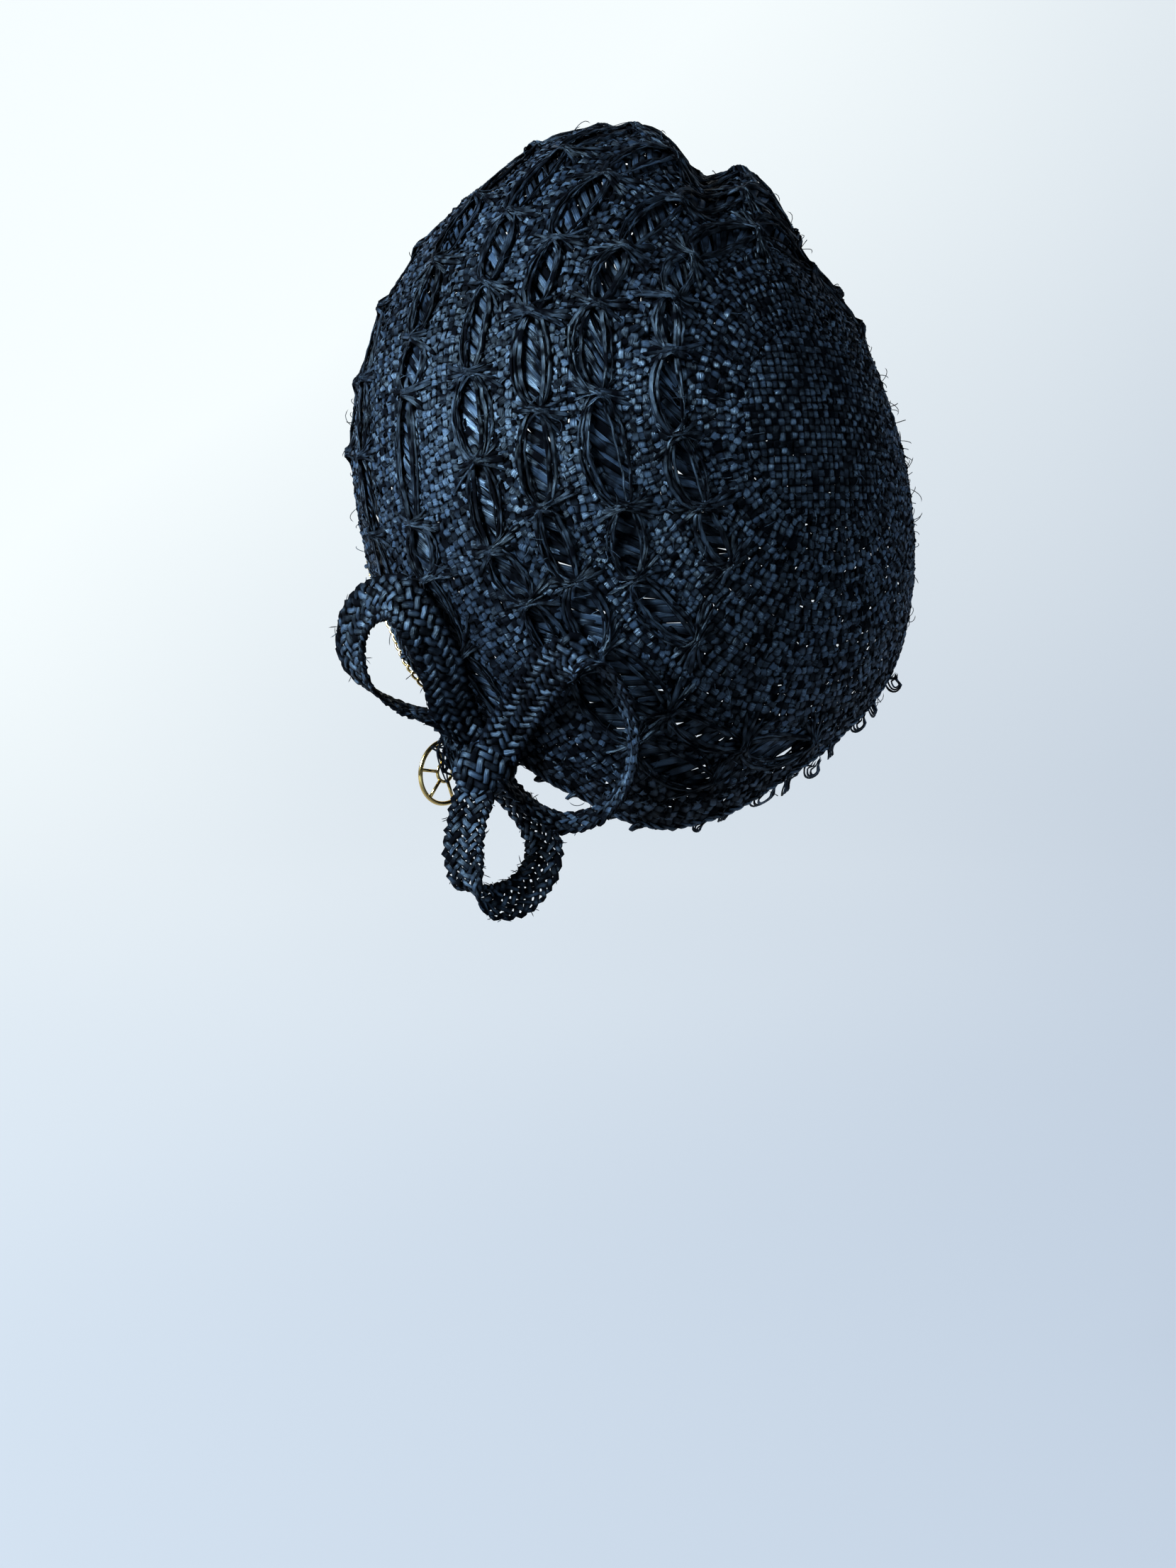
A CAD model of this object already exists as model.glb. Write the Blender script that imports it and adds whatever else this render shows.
"""The look of a black straw hat: strand by strand weave, braided bow, gold chain and charm."""

import logging
import math
from dataclasses import dataclass, field
from enum import Enum

import bmesh
import bpy
import numpy as np
from mathutils import Matrix, Vector
from mathutils.bvhtree import BVHTree


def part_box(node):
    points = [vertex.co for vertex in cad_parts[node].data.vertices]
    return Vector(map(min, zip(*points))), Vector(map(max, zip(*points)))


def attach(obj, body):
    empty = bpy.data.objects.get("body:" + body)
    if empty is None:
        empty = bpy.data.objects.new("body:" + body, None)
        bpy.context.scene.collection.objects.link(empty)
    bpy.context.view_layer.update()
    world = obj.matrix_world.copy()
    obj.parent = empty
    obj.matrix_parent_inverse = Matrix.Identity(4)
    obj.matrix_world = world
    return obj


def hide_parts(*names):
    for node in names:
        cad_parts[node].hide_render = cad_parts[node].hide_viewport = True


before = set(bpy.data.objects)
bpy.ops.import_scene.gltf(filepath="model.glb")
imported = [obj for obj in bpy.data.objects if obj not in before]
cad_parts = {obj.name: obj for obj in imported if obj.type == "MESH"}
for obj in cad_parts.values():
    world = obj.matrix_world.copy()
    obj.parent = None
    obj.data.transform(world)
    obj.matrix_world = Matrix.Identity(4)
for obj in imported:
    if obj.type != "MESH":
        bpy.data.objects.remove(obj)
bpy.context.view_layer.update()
log = logging.getLogger("hat")

BODY = "root"
CROWN_CENTRE = np.array([0.0, 0.0, -0.097])
# Radii that turn lengths on the crown into angles, over the openwork and near the rim.
WORK_RADIUS = 0.104
EDGE_RADIUS = 0.105
# A fibre that has sprung loose.
HAIR_WIDTH = 0.00026
HAIR_THICKNESS = 0.0002
# Share of a turn that spreads places most evenly, however many there are.
GOLDEN_SHARE = 0.61803399
# The photograph's width and height in pixels, and the width of the camera's sensor in millimetres.
PHOTO_SIZE = (1659, 2212)
SENSOR = 36.0


class Slot(Enum):
    """Material slots of the part."""

    STRAW = "straw"
    BOW = "bow_straw"
    GOLD = "gold"


# Small helpers for arrays of points.


def smooth(x: np.ndarray, low: float, high: float) -> np.ndarray:
    """Eased step from 0 at low to 1 at high."""
    t = np.clip((x - low) / (high - low), 0.0, 1.0)
    return t * t * (3.0 - 2.0 * t)


def unit(v: np.ndarray) -> np.ndarray:
    """The vectors of the last axis at length one."""
    return v / np.maximum(np.linalg.norm(v, axis=-1, keepdims=True), 1e-12)


def wrap(angle: np.ndarray) -> np.ndarray:
    """Angles brought to between -pi and pi."""
    return (angle + math.pi) % (2.0 * math.pi) - math.pi


def travel(points: np.ndarray) -> np.ndarray:
    """Length run from a line's first point to each of its points."""
    return np.concatenate([[0.0], np.cumsum(np.linalg.norm(np.diff(points, axis=0), axis=1))])


def at_lengths(lengths: np.ndarray, run: np.ndarray, values: np.ndarray) -> np.ndarray:
    """Vectors at some lengths along a line, from those known at the lengths of run."""
    return np.array([np.interp(lengths, run, values[:, k]) for k in range(3)]).T


def as_piece(name: str, shape: bmesh.types.BMesh) -> bpy.types.Object:
    """Turns a finished shape into a smooth object at the origin, and frees the shape.

    Args:
        name: name of the object and of its mesh.
        shape: the finished shape.

    Returns:
        The object, linked to the scene.
    """
    for f in shape.faces:
        f.smooth = True
    mesh = bpy.data.meshes.new(name)
    shape.to_mesh(mesh)
    shape.free()
    piece = bpy.data.objects.new(name, mesh)
    bpy.context.scene.collection.objects.link(piece)
    return piece


@dataclass
class CrownForm:
    """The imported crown's outer face, read as a distance from its centre all round its pole.

    Args:
        pole: direction from the centre that the knot columns circle about.
        rows: steps from the pole outwards.
        rays: steps round the pole.
        reach: greatest tilt from the pole that is read.
        outside: distance from the centre at which a ray starts inwards.
        halvings: how often the rim's place is halved in on.
        smoothings: how often the distances are averaged with their neighbours.
        probe: half the step over which a slope is measured, in radians.
    """

    pole: tuple[float, float, float] = (0.593, -0.775, 0.220)
    rows: int = 270
    rays: int = 360
    reach: float = math.radians(162.0)
    outside: float = 0.3
    halvings: int = 6
    smoothings: int = 7
    probe: float = 0.012
    radius: np.ndarray = field(init=False)
    rim: np.ndarray = field(init=False)

    def __post_init__(self) -> None:
        """Reads the crown's node by casting rays from its centre."""
        self.axis = unit(np.array(self.pole))
        up = np.array([0.0, 0.0, 1.0])
        self.up = unit(up - self.axis * (up @ self.axis))
        self.side = np.cross(self.axis, self.up)
        shell = bmesh.new()
        shell.from_mesh(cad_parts["crown"].data)
        self.tree = BVHTree.FromBMesh(shell)
        shell.free()
        far = np.zeros((self.rows + 1, self.rays))
        self.rim = np.zeros(self.rays)
        for j in range(self.rays):
            turn = 2.0 * math.pi * j / self.rays
            last = 0.1
            for i in range(self.rows + 1):
                tilt = self.reach * i / self.rows
                hit = self._cast(tilt, turn)
                if hit is None:
                    far[i:, j] = last
                    break
                last = hit
                far[i, j] = hit
                self.rim[j] = tilt
            low, high = self.rim[j], self.rim[j] + self.reach / self.rows
            for _ in range(self.halvings):
                middle = (low + high) / 2.0
                if self._cast(middle, turn) is None:
                    high = middle
                else:
                    low = middle
            self.rim[j] = low
        for _ in range(self.smoothings):
            far = (far + np.roll(far, 1, axis=1) + np.roll(far, -1, axis=1)) / 3.0
            far[1:-1] = (far[:-2] + far[1:-1] + far[2:]) / 3.0
        self.radius = far

    def _cast(self, tilt: float, turn: float) -> float | None:
        """Distance to the outer face in a direction, or None past the rim."""
        centre = Vector(CROWN_CENTRE)
        out = self.direction(np.array(tilt), np.array(turn))
        start = centre + Vector(out) * self.outside
        hit = self.tree.ray_cast(start, Vector(-out), self.outside)[0]
        return None if hit is None else (hit - centre).length

    def sighted(self, studio: "Studio", pixel: tuple[int, int]) -> tuple[float, float]:
        """The place on the crown that the camera sees at a pixel.

        Args:
            studio: holds the camera.
            pixel: steps right and down from the photograph's top left corner.

        Returns:
            Tilt from the pole and turn round it, in radians.
        """
        wide, tall = PHOTO_SIZE
        reach = studio.lens / SENSOR * tall
        sight = Vector((pixel[0] - wide / 2, tall / 2 - pixel[1], -reach))
        line = Matrix.Rotation(studio.pitch, 3, "X") @ sight
        hit = self.tree.ray_cast(Vector(studio.camera_at), line.normalized(), 2.0)[0]
        out = unit(np.array(hit) - CROWN_CENTRE)
        turn = math.atan2(float(out @ self.side), float(out @ self.up))
        return math.acos(float(out @ self.axis)), turn

    def direction(self, tilt: np.ndarray, turn: np.ndarray) -> np.ndarray:
        """Unit vectors at a tilt from the pole and a turn round it."""
        s = np.sin(tilt)[..., None]
        around = np.cos(turn)[..., None] * self.up + np.sin(turn)[..., None] * self.side
        return np.cos(tilt)[..., None] * self.axis + s * around

    def rim_tilt(self, turn: np.ndarray) -> np.ndarray:
        """Tilt of the rim at a turn."""
        place = (turn / (2.0 * math.pi) * self.rays) % self.rays
        low = np.floor(place).astype(int) % self.rays
        share = place - np.floor(place)
        return self.rim[low] * (1.0 - share) + self.rim[(low + 1) % self.rays] * share

    def rim_tilt_at(self, turn: float) -> float:
        """Tilt of the rim at a single turn."""
        return float(self.rim_tilt(np.array(turn)))

    def on_face(self, tilt: np.ndarray, turn: np.ndarray) -> np.ndarray:
        """Points of the outer face."""
        i = np.clip(tilt / self.reach * self.rows, 0.0, self.rows - 0.001)
        j = (turn / (2.0 * math.pi) * self.rays) % self.rays
        i0 = np.floor(i).astype(int)
        j0 = np.floor(j).astype(int) % self.rays
        a, b = i - i0, j - np.floor(j)
        j1 = (j0 + 1) % self.rays
        near = self.radius[i0, j0] * (1.0 - b) + self.radius[i0, j1] * b
        past = self.radius[i0 + 1, j0] * (1.0 - b) + self.radius[i0 + 1, j1] * b
        r = near * (1.0 - a) + past * a
        return CROWN_CENTRE + self.direction(tilt, turn) * r[..., None]

    def face_xy(self, x: np.ndarray, y: np.ndarray) -> np.ndarray:
        """Points of the outer face from flat coordinates, in radians from the pole."""
        return self.on_face(np.hypot(x, y), np.arctan2(y, x))

    def normal(self, tilt: np.ndarray, turn: np.ndarray) -> np.ndarray:
        """Outward unit normals of the outer face."""
        x, y = tilt * np.cos(turn), tilt * np.sin(turn)
        e = self.probe
        dx = self.face_xy(x + e, y) - self.face_xy(x - e, y)
        dy = self.face_xy(x, y + e) - self.face_xy(x, y - e)
        n = unit(np.cross(dx, dy))
        return n * np.sign(np.sum(n * self.direction(tilt, turn), axis=-1))[..., None]

    def place(
        self, tilt: np.ndarray, turn: np.ndarray, lift: np.ndarray
    ) -> tuple[np.ndarray, np.ndarray]:
        """Points lifted off the outer face, and the normals there."""
        n = self.normal(tilt, turn)
        return self.on_face(tilt, turn) + n * np.asarray(lift)[..., None], n


# Strands. The section's corners: share of the half width, share of the half thickness.

THINNEST = 0.00012
SECTION = ((-1.0, 0.0), (-0.55, 1.0), (0.55, 1.0), (1.0, 0.0), (0.0, -1.0), (-1.0, 0.0))


@dataclass
class Strands:
    """Straw strands of flat-topped section, laid side by side in one mesh.

    Args:
        name: name of the finished object.
        points: middle line of each strand, strands by steps by 3.
        up: direction away from the work under each point.
        width: strand's width at each step.
        thick: strand's thickness.
        shade: one random number for each strand, for its tone.
        twist: turn of the section about the strand, in radians.
        closed: whether each strand meets its own start.
        rise: 1 where a strand passes over another, -1 where it passes under.
    """

    name: str
    points: np.ndarray
    up: np.ndarray
    width: np.ndarray
    thick: float
    shade: np.ndarray
    twist: np.ndarray | float = 0.0
    closed: bool = False
    rise: np.ndarray | float = 1.0

    def build(self) -> bpy.types.Object:
        """Makes the mesh from one grid: a column to each corner of a strand, its gap faces removed.

        Returns:
            The object, with the vertex attributes lay (metres along, place across, tone) and rise.
        """
        n, m = self.points.shape[:2]
        along = np.gradient(self.points, axis=1)
        if self.closed:
            along[:, 0] = along[:, -1] = self.points[:, 1] - self.points[:, -2]
        along = unit(along)
        up = unit(self.up - along * np.sum(self.up * along, axis=-1, keepdims=True))
        across = np.cross(along, up)
        turn = np.broadcast_to(np.asarray(self.twist, float), (n, m))[..., None]
        cos, sin = np.cos(turn), np.sin(turn)
        across, up = across * cos + up * sin, up * cos - across * sin
        half = np.broadcast_to(self.width, (n, m))[..., None] / 2.0
        deep = np.minimum(half, self.thick / 2.0)
        if not self.closed:
            half = half.copy()
            half[:, [0, -1]] = 0.0
            deep = deep.copy()
            deep[:, [0, -1]] = 0.0
        co = np.stack([self.points + across * half * a + up * deep * b for a, b in SECTION], axis=1)
        step = np.linalg.norm(np.diff(self.points, axis=1), axis=-1)
        run = np.concatenate([np.zeros((n, 1)), np.cumsum(step, axis=1)], axis=1)
        corners = len(SECTION)
        lay = np.zeros((n, corners, m, 3))
        lay[..., 0] = run[:, None, :]
        lay[..., 1] = np.array([a for a, _ in SECTION])[None, :, None]
        lay[..., 2] = self.shade[:, None, None]
        bm = bmesh.new()
        bmesh.ops.create_grid(bm, x_segments=corners * n - 1, y_segments=m - 1, size=1.0)
        flat = np.array([(v.co.x, v.co.y) for v in bm.verts])
        column = np.rint((flat[:, 0] + 1.0) / 2.0 * (corners * n - 1)).astype(int)
        row = np.rint((flat[:, 1] + 1.0) / 2.0 * (m - 1)).astype(int)
        strand, corner = column // corners, column % corners
        placed, laid = co[strand, corner, row], lay[strand, corner, row]
        thin = (np.broadcast_to(self.width, (n, m)) < THINNEST)[strand, row]
        over = np.broadcast_to(self.rise, (n, m))[strand, row]
        layer = bm.verts.layers.float_vector.new("lay")
        height = bm.verts.layers.float.new("rise")
        for v, p, s, r in zip(bm.verts, placed.tolist(), laid.tolist(), over.tolist()):
            v.co = p
            v[layer] = s
            v[height] = r
        gone = []
        for f in bm.faces:
            ids = [v.index for v in f.verts]
            left = min(column[k] for k in ids)
            if left % corners == corners - 1 or all(thin[k] for k in ids):
                gone.append(f)
        bmesh.ops.delete(bm, geom=gone, context="FACES")
        bmesh.ops.remove_doubles(bm, verts=bm.verts, dist=2e-7)
        return as_piece(self.name, bm)


# Shader expressions.


@dataclass(frozen=True)
class Signal:
    """A socket in a node tree, with arithmetic that adds Math nodes."""

    shader: "Shader"
    socket: bpy.types.NodeSocket | None

    def _math(self, operation: str, *values: "Signal | float") -> "Signal":
        """A Math node on this kind of input."""
        return self.shader.node("ShaderNodeMath", {"operation": operation}, dict(enumerate(values)))

    def __add__(self, other: "Signal | float") -> "Signal":
        """Sum."""
        return self._math("ADD", self, other)

    def __sub__(self, other: "Signal | float") -> "Signal":
        """Difference."""
        return self._math("SUBTRACT", self, other)

    def __mul__(self, other: "Signal | float") -> "Signal":
        """Product."""
        return self._math("MULTIPLY", self, other)

    def __rsub__(self, other: float) -> "Signal":
        """Difference from a number."""
        return self._math("SUBTRACT", other, self)

    def __pow__(self, other: float) -> "Signal":
        """Power."""
        return self._math("POWER", self, other)

    __radd__ = __add__
    __rmul__ = __mul__

    def clamp(self) -> "Signal":
        """Held between 0 and 1."""
        return self._math("MINIMUM", self._math("MAXIMUM", self, 0.0), 1.0)


@dataclass
class Shader:
    """A material's node tree, built node by node.

    Args:
        name: the material's name.
    """

    name: str

    def __post_init__(self) -> None:
        """Starts an empty tree."""
        self.material = bpy.data.materials.new(self.name)
        self.material.use_nodes = True
        self.tree = self.material.node_tree
        self.tree.nodes.clear()

    def node(
        self,
        kind: str,
        settings: dict[str, object] | None = None,
        values: dict[int | str, object] | None = None,
        out: int | str = 0,
    ) -> Signal:
        """Adds a node, sets it, then gives its sockets their values or links.

        Args:
            kind: Blender's type name of the node.
            settings: properties, which are set first.
            values: socket name or number to a value or a Signal.
            out: the output to hand back.

        Returns:
            The chosen output.
        """
        made = self.tree.nodes.new(kind)
        for key, value in (settings or {}).items():
            setattr(made, key, value)
        for key, value in (values or {}).items():
            socket = made.inputs[key]
            if isinstance(value, Signal):
                self.tree.links.new(value.socket, socket)
            else:
                socket.default_value = value
        return Signal(self, made.outputs[out] if len(made.outputs) else None)

    def noise(self, vector: Signal, scale: float, detail: float = 2.0) -> Signal:
        """Soft random field, 0 to 1."""
        return self.node(
            "ShaderNodeTexNoise", {}, {"Vector": vector, "Scale": scale, "Detail": detail}
        )

    def mix(
        self, factor: Signal, a: tuple[float, ...] | Signal, b: tuple[float, ...] | Signal
    ) -> Signal:
        """Colour between a and b, each three numbers or a colour of the tree."""
        low, high = (c if isinstance(c, Signal) else (*c, 1.0) for c in (a, b))
        return self.node("ShaderNodeMix", {"data_type": "RGBA"}, {0: factor, 6: low, 7: high}, 2)

    def parts(self, vector: Signal) -> tuple[Signal, Signal, Signal]:
        """The X, Y and Z of a vector."""
        x = self.node("ShaderNodeSeparateXYZ", {}, {0: vector}, "X")
        outputs = x.socket.node.outputs
        return x, Signal(self, outputs["Y"]), Signal(self, outputs["Z"])

    def surface(self, values: dict[str, object]) -> bpy.types.Material:
        """Ends the tree in a Principled surface with these sockets."""
        return self.finish(self.node("ShaderNodeBsdfPrincipled", {}, values))

    def finish(self, shaded: Signal) -> bpy.types.Material:
        """Ends the tree in this shader."""
        self.node("ShaderNodeOutputMaterial", {}, {"Surface": shaded})
        return self.material


@dataclass(frozen=True)
class StrawFinish:
    """Dyed straw with a satin skin and fine lengthwise fibres.

    Args:
        name: the material's name.
        dark: tone of the deepest dyed strands.
        pale: tone of the strands that took less dye.
        shadow: tone between strands, where no light gets in.
        tint: colour of the skin's shine.
        gloss: roughness of the skin.
    """

    name: str = "dyed_straw"
    dark: tuple[float, float, float] = (0.0008, 0.0017, 0.0042)
    pale: tuple[float, float, float] = (0.028, 0.046, 0.077)
    shadow: tuple[float, float, float] = (0.0003, 0.0006, 0.0014)
    tint: tuple[float, float, float] = (0.68, 0.86, 1.0)
    gloss: float = 0.4

    def make(self) -> bpy.types.Material:
        """Builds the material."""
        s = Shader(self.name)
        lay = s.node("ShaderNodeAttribute", {"attribute_name": "lay"}, {}, "Vector")
        run, side, tone = s.parts(lay)
        grain = s.node("ShaderNodeCombineXYZ", {}, {0: run * 140.0, 1: side * 4.6, 2: tone * 57.0})
        fibre = s.noise(grain, 1.0, 3.0)
        spots = s.node("ShaderNodeCombineXYZ", {}, {0: run * 210.0, 1: tone * 31.0, 2: tone * 7.0})
        patch = s.noise(spots, 1.0, 1.0)
        where = s.node("ShaderNodeTexCoord", {}, {}, "Object")
        cloud = s.noise(where, 26.0, 2.0)
        edge = s.node("ShaderNodeMath", {"operation": "ABSOLUTE"}, {0: side}) ** 4.0
        rise = s.node("ShaderNodeAttribute", {"attribute_name": "rise"}, {}, "Fac")
        skin = (patch * 4.0 + tone * 0.7 - 1.7).clamp()
        lit = (rise * 1.5 + 0.1).clamp() * (1.0 - edge) * skin
        amount = (fibre * 0.9 + patch * 1.3 + tone * 0.8 + cloud * 0.6 - 1.3).clamp()
        colour = s.mix(amount, self.dark, self.pale)
        bump = s.node("ShaderNodeBump", {}, {"Strength": 1.0, "Distance": 0.0005, "Height": fibre})
        satin = s.node(
            "ShaderNodeBsdfPrincipled",
            {},
            {
                "Base Color": colour,
                "Roughness": (fibre * 0.34 + patch * 0.25 + (self.gloss - 0.3)).clamp(),
                "Normal": bump,
                "Specular IOR Level": 0.62,
                "Specular Tint": (*self.tint, 1.0),
            },
        )
        matt = s.node(
            "ShaderNodeBsdfPrincipled",
            {},
            {
                "Base Color": s.mix(cloud, self.shadow, self.dark),
                "Roughness": 0.9,
                "Specular IOR Level": 0.05,
            },
        )
        return s.finish(s.node("ShaderNodeMixShader", {}, {0: lit, 1: matt, 2: satin}))


@dataclass(frozen=True)
class GoldFinish:
    """Polished pale gold with a few soft scuffs."""

    name: str = "pale_gold"
    bright: tuple[float, float, float] = (0.86, 0.66, 0.32)
    worn: tuple[float, float, float] = (0.62, 0.45, 0.19)

    def make(self) -> bpy.types.Material:
        """Builds the material."""
        s = Shader(self.name)
        where = s.node("ShaderNodeTexCoord", {}, {}, "Object")
        cloud = s.noise(where, 240.0, 3.0)
        scuff = s.noise(where, 1400.0, 2.0)
        bump = s.node("ShaderNodeBump", {}, {"Strength": 0.08, "Distance": 0.0002, "Height": scuff})
        return s.surface(
            {
                "Base Color": s.mix((cloud * 1.6 - 0.5).clamp(), self.worn, self.bright),
                "Metallic": 1.0,
                "Roughness": (scuff * 0.14 + 0.14).clamp(),
                "Normal": bump,
            }
        )


@dataclass(frozen=True)
class PaperFinish:
    """Matt pale paper of the studio sweep, which glows behind the hat.

    Args:
        name: the material's name.
        glow: strength of the light that the paper gives off.
        bright: colour of that light on the left and above.
        dim: colour of that light on the right and below.
    """

    name: str = "sweep_paper"
    glow: float = 0.92
    bright: tuple[float, float, float] = (0.96, 1.0, 1.0)
    dim: tuple[float, float, float] = (0.49, 0.56, 0.67)

    def make(self) -> bpy.types.Material:
        """Builds the material."""
        s = Shader(self.name)
        where = s.node("ShaderNodeTexCoord", {}, {}, "Object")
        right, depth, height = s.parts(where)
        slope = right * 0.42 - depth * 0.18 - height * 0.45
        fall = (slope + s.noise(where, 1.1, 1.0) * 0.25 + 0.42).clamp()
        glow = s.mix(fall, self.bright, self.dim)
        glow = s.mix((depth * 2.5 + 1.2).clamp(), (0.0, 0.0, 0.0), glow)
        back = (depth * 2.5 + 1.9).clamp()
        return s.surface(
            {
                "Base Color": s.mix(back, (0.4, 0.43, 0.46), (0.035, 0.037, 0.04)),
                "Roughness": 0.95,
                "Emission Color": glow,
                "Emission Strength": self.glow,
            }
        )


def dress(piece: bpy.types.Object, finish: bpy.types.Material, slot: Slot, *nodes: str) -> None:
    """Gives a piece its finish, slot and body, and the CAD nodes that it stands for."""
    piece.data.materials.clear()
    piece.data.materials.append(finish)
    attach(piece, BODY)
    if nodes:
        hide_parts(*nodes)
    log.info("%s: %d faces", piece.name, len(piece.data.polygons))


# The crown's weave.


@dataclass(frozen=True)
class KnotRing:
    """A ring of knots about the crown's pole.

    Args:
        tilt: the ring's tilt from the pole where no knot was read, in degrees.
        back: turn at which the ring's knots start, in degrees.
        on: turn at which they end, in degrees.
        seen: pixels of the knots read by eye in the photograph, from the top down.
    """

    tilt: float
    back: float
    on: float
    seen: tuple[tuple[int, int], ...] = ()

    def spread(
        self, spacing: float, form: CrownForm, studio: "Studio"
    ) -> tuple[np.ndarray, np.ndarray]:
        """All knots of the ring: those read, and evenly spaced ones before and after.

        Args:
            spacing: distance between knots that follow each other, in metres.
            form: the crown's outer face.
            studio: holds the camera through which the knots were read.

        Returns:
            Tilts and turns in radians, in order of turn.
        """
        read = sorted((form.sighted(studio, pixel) for pixel in self.seen), key=lambda k: k[1])
        if not read:
            read = [(math.radians(self.tilt), math.radians((self.back + self.on) / 2.0))]
        first, last = read[0], read[-1]
        step = spacing / (WORK_RADIUS * math.sin(math.radians(self.tilt)))
        before = max(0, int((first[1] - math.radians(self.back)) / step))
        after = max(0, int((math.radians(self.on) - last[1]) / step))
        full = [(first[0], first[1] - step * k) for k in range(before, 0, -1)]
        full += read + [(last[0], last[1] + step * k) for k in range(1, after + 1)]
        table = np.array(full)
        return table[:, 0], table[:, 1]


@dataclass
class Openwork:
    """Knots drawn tight along rings, and the slits that open between them.

    Args:
        rings: the rings of knots.
        form: the crown's outer face.
        studio: holds the camera through which the knots were read.
        radius: the crown's mean radius over the openwork.
        spacing: distance between knots that follow each other.
        slit: half the width of an open slit.
        reach: how far from a ring the strands are pushed aside.
        slant: how far a strand shifts along the slit as it crosses it.
        draw: how far out a knot draws strands in.
    """

    rings: tuple[KnotRing, ...]
    form: CrownForm
    studio: "Studio"
    radius: float = WORK_RADIUS
    spacing: float = 0.027
    slit: float = 0.0046
    reach: float = 0.0086
    slant: float = 0.0056
    draw: float = 0.0042
    seed: int = 5

    def __post_init__(self) -> None:
        """Lays out every knot and how far each slit opens."""
        rng = np.random.default_rng(self.seed)
        self.tables = [ring.spread(self.spacing, self.form, self.studio) for ring in self.rings]
        self.opening = [rng.uniform(0.65, 1.12, len(t) - 1) for t, _ in self.tables]

    def _along(self, k: int, turn: np.ndarray) -> tuple[np.ndarray, np.ndarray]:
        """Tilt of ring k at a turn, and how far its slit is open there, 0 to 1."""
        tilts, turns = self.tables[k]
        start = turns[0]
        t = start + (turn - start) % (2.0 * math.pi)
        tilt = np.interp(t, turns, tilts)
        past = np.clip((t - turns[-1]) / (2.0 * math.pi + start - turns[-1]), 0.0, 1.0)
        tilt = np.where(t > turns[-1], tilts[-1] + (tilts[0] - tilts[-1]) * past, tilt)
        gap = np.clip(np.searchsorted(turns, t) - 1, 0, len(turns) - 2)
        share = (t - turns[gap]) / (turns[gap + 1] - turns[gap])
        inside = (t <= turns[-1]) & (t >= turns[0])
        share = np.clip(share, 0.0, 1.0)
        return tilt, np.where(inside, np.sin(math.pi * share) ** 0.55 * self.opening[k][gap], 0.0)

    def lay(self, tilt: np.ndarray, turn: np.ndarray) -> tuple[np.ndarray, ...]:
        """Moves places of the plain weave to where the openwork pulls them.

        Returns:
            Tilt, turn, how open the work is there and how near a knot is, the last two 0 to 1.
        """
        open_ = np.zeros_like(tilt)
        knotted = np.zeros_like(tilt)
        for k, (knot_tilts, knot_turns) in enumerate(self.tables):
            ring_tilt, gap = self._along(k, turn)
            u = (tilt - ring_tilt) * self.radius
            a = np.abs(u)
            h = self.slit * gap
            near = a < self.reach
            pushed = np.sign(u) * (h + a * (1.0 - h / self.reach))
            fade = np.exp(-np.maximum(np.where(near, np.abs(pushed), a) - h, 0.0) / 0.0045)
            through_slit = np.clip(np.where(near, pushed, u) / np.maximum(h, 1e-5), -1.0, 1.0)
            shift = -self.slant * gap * through_slit * fade * (a < 3.0 * self.reach)
            tilt = np.where(near, ring_tilt + pushed / self.radius, tilt)
            turn = turn + shift / (self.radius * np.sin(tilt))
            open_ = np.maximum(open_, gap * np.exp(-((np.abs(pushed) / (h + 0.002)) ** 4)) * near)
            du = (tilt[..., None] - knot_tilts) * self.radius
            dt = wrap(turn[..., None] - knot_turns) * self.radius * np.sin(tilt)[..., None]
            pull = np.exp(-(du * du + dt * dt) / self.draw**2)
            tilt = tilt - np.sum(0.6 * pull * du, axis=-1) / self.radius
            turn = turn - np.sum(0.6 * pull * dt, axis=-1) / (self.radius * np.sin(tilt))
            knotted = np.maximum(knotted, np.max(pull, axis=-1))
        return tilt, turn, np.clip(open_, 0.0, 1.0), knotted


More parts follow.
